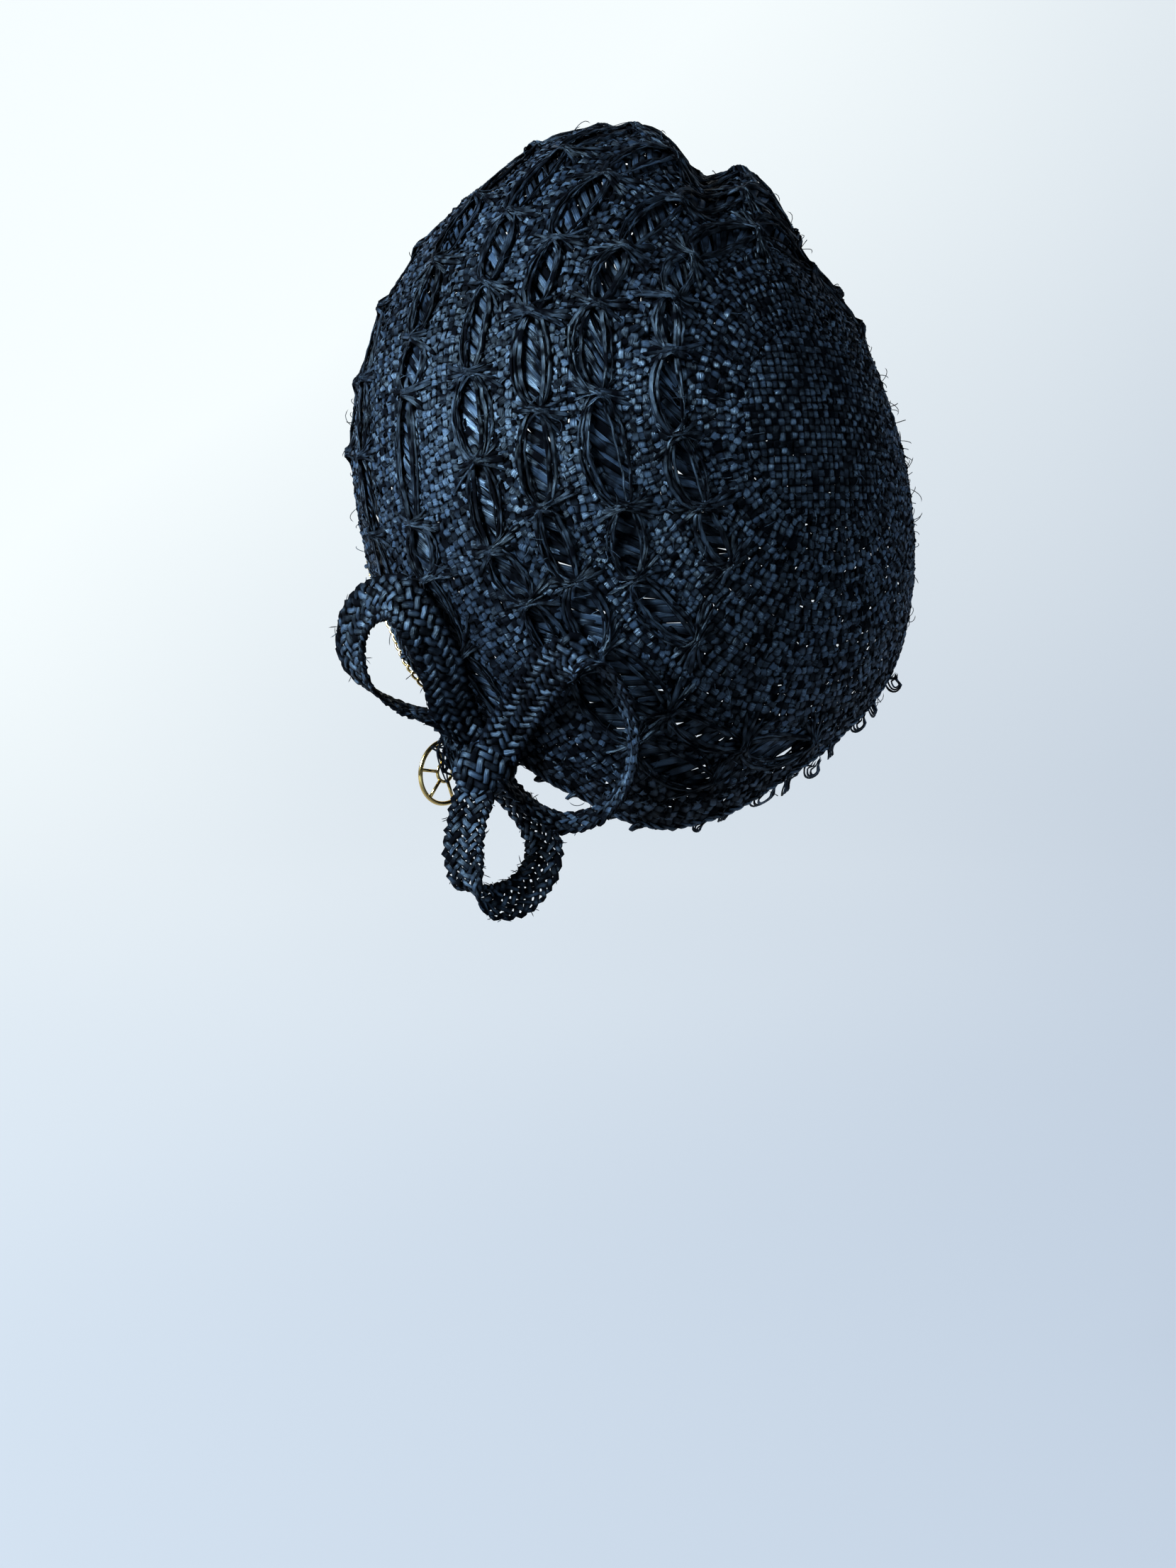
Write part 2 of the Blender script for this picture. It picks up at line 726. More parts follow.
@dataclass
class CrownWeave:
    """The hood: hoops and spokes of straw woven over and under about the pole, edged at the rim.

    Args:
        form: the crown's outer face.
        work: the knots and slits.
        pitch: distance between strands.
        strand: width of a strand.
        thick: thickness of a strand.
        wave: how far a strand rises and dips as it passes over and under.
        depth: how far the middle of the weave lies inside the outer face.
        start: tilt at which hoops and spokes begin, outside the square start of the weave.
        edge_rows: hoops that follow the rim.
        widest: radius from which the greatest number of spokes is worked out.
        row_radius: radius that turns the pitch of the hoops into a tilt.
        looseness: how far a crossing strays.
        drift: how far a whole strand strays.
        ragged_turn: turn about which the weave is least even.
        ladder_at: place across and up of the one low row of slits that lets light through.
        ladder_size: half its size, across and up.
    """

    form: CrownForm
    work: Openwork
    pitch: float = 0.0024
    strand: float = 0.0021
    thick: float = 0.0004
    wave: float = 0.0005
    depth: float = 0.0008
    start: float = math.radians(17.0)
    edge_rows: int = 6
    widest: float = 0.106
    row_radius: float = 0.108
    looseness: float = 0.00046
    drift: float = 0.00025
    ragged_turn: float = math.radians(215.0)
    ladder_at: tuple[float, float] = (0.031, -0.182)
    ladder_size: tuple[float, float] = (0.008, 0.013)
    seed: int = 11

    def _spoke_turns(self) -> tuple[np.ndarray, np.ndarray, np.ndarray]:
        """Turn and weight of every spoke at each of a run of tilts.

        New spokes come in by pairs as the rings grow, and push their neighbours apart.

        Returns:
            The tilts, the turns and the weights, tilts by spokes.
        """
        tilts = np.radians(np.arange(10.0, 166.0, 0.5))
        most = 2 * round(math.pi * self.widest / self.pitch)
        rank = (np.arange(most // 2) * GOLDEN_SHARE) % 1.0
        rank = np.repeat(rank, 2)
        wanted = np.sin(tilts) ** 0.96
        weight = smooth(wanted[:, None] - rank[None, :], 0.0, 0.05)
        total = np.cumsum(weight, axis=1)
        turns = (total - weight / 2.0) / total[:, -1:] * 2.0 * math.pi
        return tilts, turns, weight

    def grid(self) -> dict[str, np.ndarray]:
        """Places where hoops and spokes cross, rows of hoops by columns of spokes.

        Returns:
            The tilt and turn of each crossing, and how full the spoke and the hoop are there.
        """
        tilts, turns, weights = self._spoke_turns()
        form = self.form
        band = self.edge_rows * self.pitch * 0.9 / EDGE_RADIUS
        step = self.pitch / self.row_radius
        nominal = np.arange(self.start, form.rim.max() - band, step)
        count = turns.shape[1]
        column = np.arange(count)[None, :]

        def spoke(tilt: np.ndarray) -> tuple[np.ndarray, np.ndarray]:
            """Turn and weight of each spoke at the tilts given for it."""
            place = np.clip((tilt - tilts[0]) / (tilts[1] - tilts[0]), 0, len(tilts) - 1.001)
            low = np.floor(place).astype(int)
            share = place - low
            where = np.broadcast_to(column, tilt.shape)
            turn = turns[low, where] * (1 - share) + turns[low + 1, where] * share
            heavy = weights[low, where] * (1 - share) + weights[low + 1, where] * share
            return turn, heavy

        plain = np.repeat(nominal[:, None], count, axis=1)
        turn, _ = spoke(plain)
        for _ in range(3):
            tilt = np.minimum(plain, form.rim_tilt(turn) - band)
            turn, heavy = spoke(tilt)
        alive = np.clip((form.rim_tilt(turn) - band - plain) / (0.7 * step), 0.0, 1.0)
        share = (np.arange(self.edge_rows) + 0.35) / self.edge_rows
        edge = np.full((self.edge_rows, count), math.radians(90.0))
        edge_turn, _ = spoke(edge)
        for _ in range(4):
            edge = form.rim_tilt(edge_turn) - band * (1.0 - share[:, None])
            edge_turn, edge_heavy = spoke(edge)
        tilt = np.vstack([tilt, edge])
        turn = np.vstack([turn, edge_turn])
        heavy = np.vstack([heavy, edge_heavy])
        alive = np.vstack([alive, np.ones_like(edge)])
        return {"tilt": tilt, "turn": turn, "spoke": heavy, "hoop": alive}

    def build(self) -> list[bpy.types.Object]:
        """Makes the hoops, the spokes and the square start."""
        rng = np.random.default_rng(self.seed)
        g = self.grid()
        rows, count = g["tilt"].shape
        near = 1.0 - smooth(np.abs(wrap(g["turn"] - self.ragged_turn)), 0.5, 1.4) * 0.45
        loose = rng.normal(0.0, 1.0, (rows, count)) * self.looseness
        row_drift = rng.normal(0.0, self.drift, (rows, 1))
        spoke_drift = rng.normal(0.0, self.drift, (1, count))
        tilt = g["tilt"] + (loose * near + row_drift * g["hoop"]) / EDGE_RADIUS
        sway = rng.normal(0.0, 0.0004, (rows, count)) + spoke_drift
        turn = g["turn"] + sway / (EDGE_RADIUS * np.sin(g["tilt"]))
        tilt, turn, open_, knotted = self.work.lay(tilt, turn)
        tilt = np.minimum(tilt, self.form.rim_tilt(turn) - 0.001)
        parity = 1.0 - 2.0 * ((np.arange(rows)[:, None] + np.arange(count)[None, :]) % 2)
        beat = parity * g["spoke"] * g["hoop"]
        pucker = 0.0009 * knotted - 0.0007 * open_
        base = -self.depth + pucker + rng.normal(0.0, 0.00012, (rows, count))
        hoop_at, normal = self.form.place(tilt, turn, base + self.wave * beat)
        spoke_at, _ = self.form.place(tilt, turn, base - self.wave * beat * (1.0 - 0.7 * open_))
        made: list[bpy.types.Object] = []
        hoop_tone = rng.random(rows)
        spoke_tone = rng.random(count)
        hoop_width = self._widths(hoop_at, axis=0, rng=rng) * g["hoop"]
        spoke_width = self._widths(spoke_at, axis=1, rng=rng) * np.clip(g["spoke"] * 1.5, 0.0, 1.0)
        thin = (np.arange(count) % 2)[None, :]
        spoke_width = spoke_width * self._over_slits(spoke_at, open_, thin)
        spoke_tone = np.where(thin[0], 0.45 * spoke_tone, 0.45 + 0.65 * spoke_tone)
        hoop_twist = rng.normal(0.0, 0.2, (rows, count))
        spoke_twist = rng.normal(0.0, 0.2, (rows, count))
        spoke_rise = np.maximum(-beat, open_ * 1.5 - 0.5)
        loop = np.concatenate([np.arange(count), [0]])
        for k, part in enumerate(np.array_split(np.arange(rows), 3)):
            pick = np.ix_(part, loop)
            made.append(
                Strands(
                    f"crown_hoops_{k + 1}", hoop_at[pick], normal[pick], hoop_width[pick],
                    self.thick, hoop_tone[part], hoop_twist[pick], closed=True, rise=beat[pick],
                ).build()
            )
        for k, part in enumerate(np.array_split(np.arange(count), 3)):
            pick = np.ix_(np.arange(rows), part)
            made.append(
                Strands(
                    f"crown_spokes_{k + 1}", spoke_at[pick].transpose(1, 0, 2),
                    normal[pick].transpose(1, 0, 2), spoke_width[pick].T, self.thick,
                    spoke_tone[part], spoke_twist[pick].T, rise=spoke_rise[pick].T,
                ).build()
            )
        made += self._square_start(rng)
        return made

    def _over_slits(self, at: np.ndarray, open_: np.ndarray, thin: np.ndarray) -> np.ndarray:
        """How much wider or narrower the spokes are where they cross a slit.

        Args:
            at: crossing places.
            open_: how open the work is there, 0 to 1.
            thin: which spokes are the narrow ones.

        Returns:
            The share of each spoke's own width. Low down and on the right the spokes fill the
            slits, apart from the ladder.
        """
        shaded = np.maximum(smooth(-at[..., 2], 0.02, 0.07), smooth(at[..., 0], 0.0, 0.02))
        across = (at[..., 0] - self.ladder_at[0]) / self.ladder_size[0]
        above = (at[..., 2] - self.ladder_at[1]) / self.ladder_size[1]
        ladder = across**2 + above**2
        shaded = shaded * (1.0 - np.exp(-(ladder**2)))
        narrow = 1.0 + open_ * (shaded * 0.95 - 0.6)
        return np.where(thin, narrow, 1.0 + 0.3 * open_ * shaded)

    def _widths(self, at: np.ndarray, axis: int, rng: np.random.Generator) -> np.ndarray:
        """Strand widths that follow the room between neighbours.

        Args:
            at: crossing places.
            axis: axis along which neighbours follow each other.
            rng: source of the hand's unevenness.

        Returns:
            The width at each crossing place.
        """
        gap = np.linalg.norm(np.diff(at, axis=axis), axis=-1)
        first = np.take(gap, [0], axis=axis)
        last = np.take(gap, [-1], axis=axis)
        before = np.concatenate([first, gap], axis=axis)
        room = (before + np.concatenate([gap, last], axis=axis)) / 2.0
        uneven = rng.uniform(0.78, 1.18, at.shape[:2])
        each = rng.uniform(0.86, 1.12, at.shape[axis])
        each = each[:, None] if axis == 0 else each[None, :]
        low = smooth(-at[..., 2], 0.035, 0.08)
        uneven = 1.0 + (uneven * each - 1.0) * (1.0 - 0.55 * low)
        return np.minimum(self.strand * 1.5, (0.88 + 0.24 * low) * room) * uneven

    def _square_start(self, rng: np.random.Generator) -> list[bpy.types.Object]:
        """The square woven start of the hood about its pole."""
        step = self.pitch / WORK_RADIUS
        reach = self.start + 0.6 * step
        half = int(reach / step) + 1
        lines = np.arange(-half, half + 1) * step
        made = []
        for name, flip in (("crown_start_across", False), ("crown_start_down", True)):
            inside = [c for c in lines if abs(c) < reach - 0.3 * step]
            points, normals, widths, rises = [], [], [], []
            for i, c in enumerate(inside):
                run = math.sqrt(max(reach * reach - c * c, 1e-6))
                steps = 2 * half + 1
                along = np.linspace(-run, run, steps)
                x, y = (np.full(steps, c), along) if flip else (along, np.full(steps, c))
                x = x + rng.normal(0.0, 0.0002, steps) / WORK_RADIUS
                y = y + rng.normal(0.0, 0.0002, steps) / WORK_RADIUS
                even = (i + (len(inside) - 1) // 2) % 2 == 0
                beat = np.cos(math.pi * (along / step)) * (1.0 if even != flip else -1.0)
                lift = -self.depth + self.wave * beat
                at, n = self.form.place(np.hypot(x, y), np.arctan2(y, x), lift)
                points.append(at)
                normals.append(n)
                widths.append(self.pitch * rng.uniform(0.94, 1.1, steps))
                rises.append(beat)
            count = len(points)
            twist = rng.normal(0.0, 0.14, (count, len(points[0])))
            made.append(
                Strands(
                    name, np.array(points), np.array(normals), np.array(widths), self.thick,
                    rng.random(count), twist, rise=np.array(rises),
                ).build()
            )
        return made


@dataclass
class KnotWork:
    """Loose strands on the openwork: bundles bowed from knot to knot, and the knots' wraps."""

    form: CrownForm
    work: Openwork
    seed: int = 23

    def _kept(self, tilt: float, turn: float) -> bool:
        """Whether a place lies on the crown, clear of its rim."""
        return tilt < self.form.rim_tilt_at(turn) - 0.05

    def bundles(self) -> bpy.types.Object:
        """Fine strands that run from knot to knot on both sides of each slit."""
        rng = np.random.default_rng(self.seed)
        c = np.linspace(-0.04, 1.04, 11)
        tilts, turns, lifts, widths = [], [], [], []
        for k, (knot_tilts, knot_turns) in enumerate(self.work.tables):
            for g in range(len(knot_tilts) - 1):
                if not all(self._kept(knot_tilts[e], knot_turns[e]) for e in (g, g + 1)):
                    continue
                bow = np.sin(math.pi * np.clip(c, 0.0, 1.0)) ** 0.55 * self.work.opening[k][g]
                for side, strands in ((-1.0, 3), (1.0, 4)):
                    for s in range(strands):
                        pull = rng.uniform(0.8, 1.12) if side > 0 else rng.uniform(0.45, 1.08)
                        out = (self.work.slit + 0.0005 * s) * pull * bow + 0.0002 + 0.00035 * s
                        out = side * out + rng.normal(0.0, 0.00018, len(c))
                        tilt = knot_tilts[g] + (knot_tilts[g + 1] - knot_tilts[g]) * c
                        turn = knot_turns[g] + (knot_turns[g + 1] - knot_turns[g]) * c
                        tilts.append(tilt + out / self.work.radius)
                        turns.append(turn + rng.normal(0.0, 0.003))
                        lift = 0.0009 * (1.0 - bow) + 0.0001
                        lifts.append(lift + rng.normal(0.0, 0.0002, len(c)))
                        widths.append(rng.uniform(0.0007, 0.0017) * (0.75 + 0.35 * bow))
        at, n = self.form.place(np.array(tilts), np.array(turns), np.array(lifts))
        count = len(tilts)
        twist = np.cumsum(rng.normal(0.0, 0.22, at.shape[:2]), axis=1)
        tone = rng.random(count) * 0.35
        return Strands("crown_bundles", at, n, np.array(widths), 0.00045, tone, twist).build()

    def wraps(self) -> bpy.types.Object:
        """Strands gathered across each knot and fanned out on both sides."""
        rng = np.random.default_rng(self.seed + 1)
        u = np.linspace(-1.0, 1.0, 11)
        tilts, turns, lifts, widths = [], [], [], []
        for knot_tilts, knot_turns in self.work.tables:
            for tilt, turn in zip(knot_tilts, knot_turns):
                if not self._kept(tilt, turn):
                    continue
                lean = rng.normal(0.0, 0.25)
                for s in range(8):
                    fan = (s - 3.5) * 0.0013 * rng.uniform(0.4, 1.5)
                    run = rng.uniform(0.004, 0.0115)
                    out = u * run + rng.normal(0.0, 0.0012)
                    t = fan * np.abs(u) ** 1.3 + (s - 3.5) * 0.00022 + lean * out
                    tilts.append(tilt + out / self.work.radius)
                    turns.append(turn + t / (self.work.radius * math.sin(tilt)))
                    bulge = 0.0019 * np.exp(-((out / 0.0022) ** 2))
                    lifts.append(bulge - 0.0009 * np.abs(u) ** 3 + 0.0004)
                    waist = 1.1 - 0.35 * np.exp(-((out / 0.002) ** 2))
                    widths.append(rng.uniform(0.0008, 0.0018) * waist)
        at, n = self.form.place(np.array(tilts), np.array(turns), np.array(lifts))
        twist = rng.normal(0.0, 0.35, at.shape[:2])
        tone = rng.random(len(tilts)) * 0.45
        return Strands("crown_knots", at, n, np.array(widths), 0.0005, tone, twist).build()


@dataclass
class RimEdge:
    """The rim's corded edge, the small loops along it, and stray fibres all over.

    Args:
        form: the crown's outer face.
        cord_strands: strands in the rim's cord.
        cord_turns: turns of the cord in one round of the rim.
        cord_radius: distance of a strand from the cord's middle.
        loop_spacing: distance between small loops.
        fibre_count: loose fibres.
        fibre_steps: points in a fibre.
    """

    form: CrownForm
    cord_strands: int = 4
    cord_turns: int = 46
    cord_radius: float = 0.00085
    loop_spacing: float = 0.011
    fibre_count: int = 380
    fibre_steps: int = 7
    seed: int = 31

    def _rim(self, count: int) -> tuple[np.ndarray, float]:
        """Turns evenly spaced along the rim, and the rim's length."""
        fine = np.linspace(0.0, 2.0 * math.pi, 721)
        at = self.form.on_face(self.form.rim_tilt(fine), fine)
        run = travel(at)
        turn = np.interp(np.linspace(0.0, run[-1], count + 1)[:-1], run, fine)
        return turn, run[-1]

    def cord(self) -> bpy.types.Object:
        """Strands twisted together along the rim."""
        turn, _ = self._rim(420)
        turn = np.append(turn, turn[0] + 2.0 * math.pi)
        strands = self.cord_strands
        tilt = self.form.rim_tilt(turn)
        angle = np.linspace(0.0, 2.0 * math.pi * self.cord_turns, len(turn))
        tilts, lifts = [], []
        for k in range(strands):
            a = angle + 2.0 * math.pi * k / strands
            tilts.append(tilt - (0.0013 + self.cord_radius * np.cos(a)) / EDGE_RADIUS)
            lifts.append(-0.0009 + self.cord_radius * np.sin(a))
        at, n = self.form.place(np.array(tilts), np.tile(turn, (strands, 1)), np.array(lifts))
        at[:, -1] = at[:, 0]
        n[:, -1] = n[:, 0]
        rng = np.random.default_rng(self.seed)
        width = rng.uniform(0.0013, 0.0018, at.shape[:2])
        width[:, -1] = width[:, 0]
        return Strands("rim_cord", at, n, width, 0.0009, rng.random(strands), closed=True).build()

    def loops(self) -> bpy.types.Object:
        """Small loops of straw that stand out of the rim."""
        rng = np.random.default_rng(self.seed + 1)
        length = self._rim(10)[1]
        turn, _ = self._rim(int(length / self.loop_spacing))
        s = np.linspace(0.0, 1.0, 15)
        tilts, turns, lifts = [], [], []
        for t in turn:
            t = t + rng.normal(0.0, 0.012)
            brink = self.form.rim_tilt_at(t)
            edge = self.form.on_face(np.array(brink), np.array(t))
            size = 0.5 + 0.5 * float(smooth(edge[0], 0.0, 0.05))
            out = rng.uniform(0.004, 0.0072) * size
            wide = rng.uniform(0.0026, 0.0044) * size
            lift = rng.normal(0.0, 0.0006)
            face = rng.normal(0.0, 0.8)
            for k in range(3):
                grow = 1.0 - 0.2 * k
                reach = -0.003 + (out * grow + 0.003) * np.sin(math.pi * s) ** 0.8
                sway = wide * grow * (-np.cos(math.pi * s)) * (1.0 + 0.4 * np.sin(math.pi * s))
                tilts.append(brink + reach / EDGE_RADIUS)
                turns.append(t + sway * math.cos(face) / (EDGE_RADIUS * math.sin(brink)))
                turned = sway * math.sin(face) * smooth(reach, -0.001, 0.002)
                flare = 0.3 * np.maximum(reach, 0.0) + turned
                curl = 0.0005 * np.sin(2.0 * math.pi * s)
                lifts.append(-0.0009 + lift + flare + 0.0005 * k + curl)
        at, n = self.form.place(np.array(tilts), np.array(turns), np.array(lifts))
        width = rng.uniform(0.0007, 0.0011, (len(tilts), 1)) * np.ones((1, len(s)))
        return Strands("rim_loops", at, n, width, 0.0005, rng.random(len(tilts)), 0.2).build()

    def fibres(self) -> bpy.types.Object:
        """Hair-fine fibres that have sprung loose from the weave."""
        rng = np.random.default_rng(self.seed + 2)
        count, steps = self.fibre_count, self.fibre_steps
        turn = rng.uniform(0.0, 2.0 * math.pi, count)
        tilt = rng.uniform(0.15, 1.0, count) * self.form.rim_tilt(turn)
        s = np.linspace(0.0, 1.0, steps)[None, :]
        heading = rng.uniform(0.0, 2.0 * math.pi, (count, 1))
        length = rng.uniform(0.003, 0.0105, (count, 1))
        bend = rng.normal(0.0, 1.1, (count, 1))
        way = heading + bend * s
        tilts = tilt[:, None] + np.cumsum(np.cos(way), axis=1) / steps * length / EDGE_RADIUS
        turns = turn[:, None] + np.cumsum(np.sin(way), axis=1) / steps * length / EDGE_RADIUS
        rise = rng.uniform(0.0008, 0.0042, (count, 1))
        lift = -0.0004 + rise * np.sin(s * rng.uniform(1.2, 2.6, (count, 1)))
        at, n = self.form.place(tilts, turns, lift)
        width = np.full((count, steps), HAIR_WIDTH)
        return Strands("crown_fibres", at, n, width, HAIR_THICKNESS, rng.random(count)).build()


# The bow.


@dataclass(frozen=True)
class Station:
    """A place along a strap: its middle and the way of its width, from the knot's middle."""

    at: tuple[float, float, float]
    edge: tuple[float, float, float]


def through(points: np.ndarray, steps: int) -> np.ndarray:
    """Places evenly shared along a smooth curve through the points, centripetal in its spacing."""
    p = np.vstack([2 * points[0] - points[1], points, 2 * points[-1] - points[-2]])
    t = np.linspace(0.0, len(points) - 1.0, steps)
    seg = np.minimum(t.astype(int), len(points) - 2)
    f = (t - seg)[:, None]
    p0, p1, p2, p3 = p[seg], p[seg + 1], p[seg + 2], p[seg + 3]

    def pace(a: np.ndarray, b: np.ndarray) -> np.ndarray:
        """Centripetal pace between two points."""
        return np.maximum(np.linalg.norm(b - a, axis=1, keepdims=True) ** 0.5, 1e-4)

    d0, d1, d2 = pace(p0, p1), pace(p1, p2), pace(p2, p3)
    m1 = ((p1 - p0) / d0 - (p2 - p0) / (d0 + d1) + (p2 - p1) / d1) * d1
    m2 = ((p2 - p1) / d1 - (p3 - p1) / (d1 + d2) + (p3 - p2) / d2) * d1
    a = 2 * (p1 - p2) + m1 + m2
    b = -3 * (p1 - p2) - 2 * m1 - m2
    return ((a * f + b) * f + m1) * f + p1


def braid(u: np.ndarray, strands: int) -> tuple[np.ndarray, np.ndarray]:
    """Flat braid in which each strand passes over two others, then under two.

    Args:
        u: how far each strand is through its course from edge to edge and back, 0 to 1.
        strands: strands in the braid.

    Returns:
        Place across the braid and height in it, both -1 to 1.
    """
    across = np.where(u < 0.5, 4.0 * u - 1.0, 3.0 - 4.0 * u)
    crossing = 2.0 * strands * np.minimum(u, 1.0 - u)
    height = np.clip(1.5 * np.cos(0.5 * math.pi * crossing - 0.25 * math.pi), -1.0, 1.0)
    turning = np.clip(np.minimum(crossing, strands - crossing), 0.0, 1.0)
    return across, np.where(u < 0.5, height, -height) * turning


@dataclass
class BowLoop:
    """One loop of the bow: a flat braid that follows its stations.

    Args:
        name: name of the piece.
        reach: length that the stations are shares of.
        stations: places along the strap.
        knot: middle of the knot.
        form: crown that the strap lies against.
        snug: how wide the strands are in their room; light shows between them below 1.
        strap: width of the strap.
        strands: strands in the braid.
        thick: thickness of a strand.
        fine: steps in which the strap's middle line is worked out.
    """

    name: str
    reach: float
    stations: tuple[Station, ...]
    knot: np.ndarray
    form: CrownForm
    snug: float = 1.0
    strap: float = 0.016
    strands: int = 9
    thick: float = 0.00075
    fine: int = 240
    seed: int = 41

    def frames(self) -> tuple[np.ndarray, np.ndarray, np.ndarray]:
        """Middle line, edge direction and face direction along the strap, clear of the crown."""
        at = through(np.array([s.at for s in self.stations]) * self.reach, self.fine) + self.knot
        edge = through(unit(np.array([s.edge for s in self.stations])), self.fine)
        along = unit(np.gradient(at, axis=0))
        edge = unit(edge - along * np.sum(edge * along, axis=1, keepdims=True))
        face = np.cross(along, edge)
        away = unit(at - CROWN_CENTRE)
        local = at - CROWN_CENTRE
        tilt = np.arccos(np.clip(away @ self.form.axis, -1.0, 1.0))
        turn = np.arctan2(away @ self.form.side, away @ self.form.up)
        r = np.linalg.norm(self.form.on_face(tilt, turn) - CROWN_CENTRE, axis=1)
        n = self.form.normal(tilt, turn)
        upright = np.abs(np.sum(n * edge, axis=1)) * self.strap / 2
        need = upright + np.abs(np.sum(n * face, axis=1)) * 0.0008 + 0.0009
        over = tilt < self.form.rim_tilt(turn)
        short = np.where(over, need - (np.linalg.norm(local, axis=1) - r), 0.0)
        at = at + n * np.maximum(short, 0.0)[:, None]
        return at, edge, face

    def build(self) -> bpy.types.Object:
        """Braids the strap."""
        rng = np.random.default_rng(self.seed)
        at, edge, face = self.frames()
        length = float(np.sum(np.linalg.norm(np.diff(at, axis=0), axis=1)))
        run = travel(at)
        period = 2.0 * self.strap * 0.95
        rows = int(2 * self.strands * length / period) * 2
        y = np.linspace(0.0, length, rows)
        place = at_lengths(y, run, at)
        side = unit(at_lengths(y, run, edge))
        out = unit(at_lengths(y, run, face))
        n = self.strands
        u = (y[None, :] / period + np.arange(n)[:, None] / n) % 1.0
        tri, beat = braid(u, n)
        tri = np.sign(tri) * (1.0 - (1.0 - np.abs(tri)) ** 1.12)
        half = self.strap / 2 - 0.0011
        wander = rng.normal(0.0, 0.00018, (n, rows))
        across = tri * half + wander
        height = 0.00052 * beat + rng.normal(0.0, 0.0001, (n, rows))
        pts = place[None] + side[None] * across[..., None] + out[None] * height[..., None]
        up = np.broadcast_to(out[None], pts.shape)
        each = rng.uniform(0.0022, 0.003, (n, 1))
        width = each * rng.uniform(0.84, 1.12, (n, rows)) * self.snug
        twist = rng.normal(0.0, 0.22, (n, rows))
        rise = 1.5 * np.abs(beat) - 0.5
        tone = rng.random(n)
        return Strands(self.name, pts, up, width, self.thick, tone, twist, rise=rise).build()

    def frays(self, count: int = 60) -> tuple[np.ndarray, np.ndarray]:
        """Hair-fine fibres that stand off the strap's edges.

        Args:
            count: number of fibres.

        Returns:
            The middle line of each fibre, and the way up along it.
        """
        rng = np.random.default_rng(self.seed + len(self.name))
        at, edge, face = self.frames()
        pick = rng.integers(12, self.fine - 12, count)
        side = rng.choice([-1.0, 1.0], count)[:, None]
        along = unit(np.gradient(at, axis=0))[pick]
        foot = at[pick] + edge[pick] * side * (self.strap / 2 - 0.0012)
        way = edge[pick] * side + along * rng.normal(0.0, 1.2, (count, 1))
        way = unit(way + face[pick] * rng.normal(0.0, 0.5, (count, 1)))
        reach = rng.uniform(0.001, 0.0034, (count, 1))
        bend = face[pick] * rng.normal(0.0, 0.3, (count, 1))
        bend = bend + along * rng.normal(0.0, 0.4, (count, 1))
        s = np.linspace(0.0, 1.0, 5)[None, :, None]
        lines = foot[:, None] + (way * reach)[:, None] * s + (bend * reach)[:, None] * s * s
        return lines, np.broadcast_to(face[pick][:, None], lines.shape)


LEFT = (
    Station((-0.1, 0.02, 0.09), (1, 0, 0.25)),
    Station((-0.18, 0, 0.38), (0.95, 0, 0.3)),
    Station((-0.28, -0.2, 0.74), (0.9, -0.1, 0.4)),
    Station((-0.39, -0.26, 1.0), (0.7, 0.15, 0.65)),
    Station((-0.56, -0.2, 1.17), (0.1, 0.4, 0.9)),
    Station((-0.77, -0.03, 1.12), (-0.45, 0.55, 0.7)),
    Station((-0.9, 0.11, 0.93), (-0.7, 0.7, 0.1)),
    Station((-0.9, 0.18, 0.7), (-0.6, 0.8, -0.15)),
    Station((-0.75, 0.16, 0.51), (-0.2, 0.95, -0.02)),
    Station((-0.55, 0.11, 0.4), (-0.02, 1, 0.12)),
    Station((-0.35, 0.05, 0.33), (0, 1, 0.16)),
    Station((-0.12, 0.01, 0.17), (0, 1, 0.12)),
)
RIGHT = (
    Station((0.08, -0.07, 0.09), (0.83, -0.1, -0.55)),
    Station((0.19, -0.2, 0.3), (0.83, -0.1, -0.55)),
    Station((0.33, -0.47, 0.54), (0.83, -0.1, -0.55)),
    Station((0.46, -0.69, 0.72), (0.82, -0.2, -0.52)),
    Station((0.6, -0.87, 0.8), (0.75, -0.5, -0.45)),
    Station((0.76, -0.92, 0.76), (0.55, -0.8, -0.2)),
    Station((0.89, -0.84, 0.56), (0.35, -0.93, 0)),
    Station((0.96, -0.7, 0.28), (0.18, -0.98, 0)),
    Station((0.93, -0.51, 0.01), (0.14, -1, -0.08)),
    Station((0.77, -0.35, -0.23), (0.08, -1, -0.22)),
    Station((0.53, -0.25, -0.32), (0, -1, -0.3)),
    Station((0.31, -0.23, -0.22), (0, -1, -0.22)),
    Station((0.12, -0.14, -0.05), (0, -1, 0)),
)
LOWER = (
    Station((-0.05, -0.03, -0.09), (0.95, -0.3, 0)),
    Station((-0.11, -0.16, -0.33), (0.9, -0.4, 0.05)),
    Station((-0.13, -0.26, -0.57), (0.85, -0.5, -0.05)),
    Station((-0.08, -0.3, -0.77), (0.7, -0.55, -0.4)),
    Station((0.07, -0.24, -0.88), (0.35, -0.6, -0.7)),
    Station((0.24, -0.14, -0.85), (0.4, -0.6, -0.65)),
    Station((0.37, -0.01, -0.71), (0.65, -0.65, -0.35)),
    Station((0.39, 0.14, -0.52), (0.75, -0.62, -0.1)),
    Station((0.27, 0.2, -0.33), (0.8, -0.55, 0)),
    Station((0.08, 0.12, -0.1), (0.9, -0.4, 0)),
)


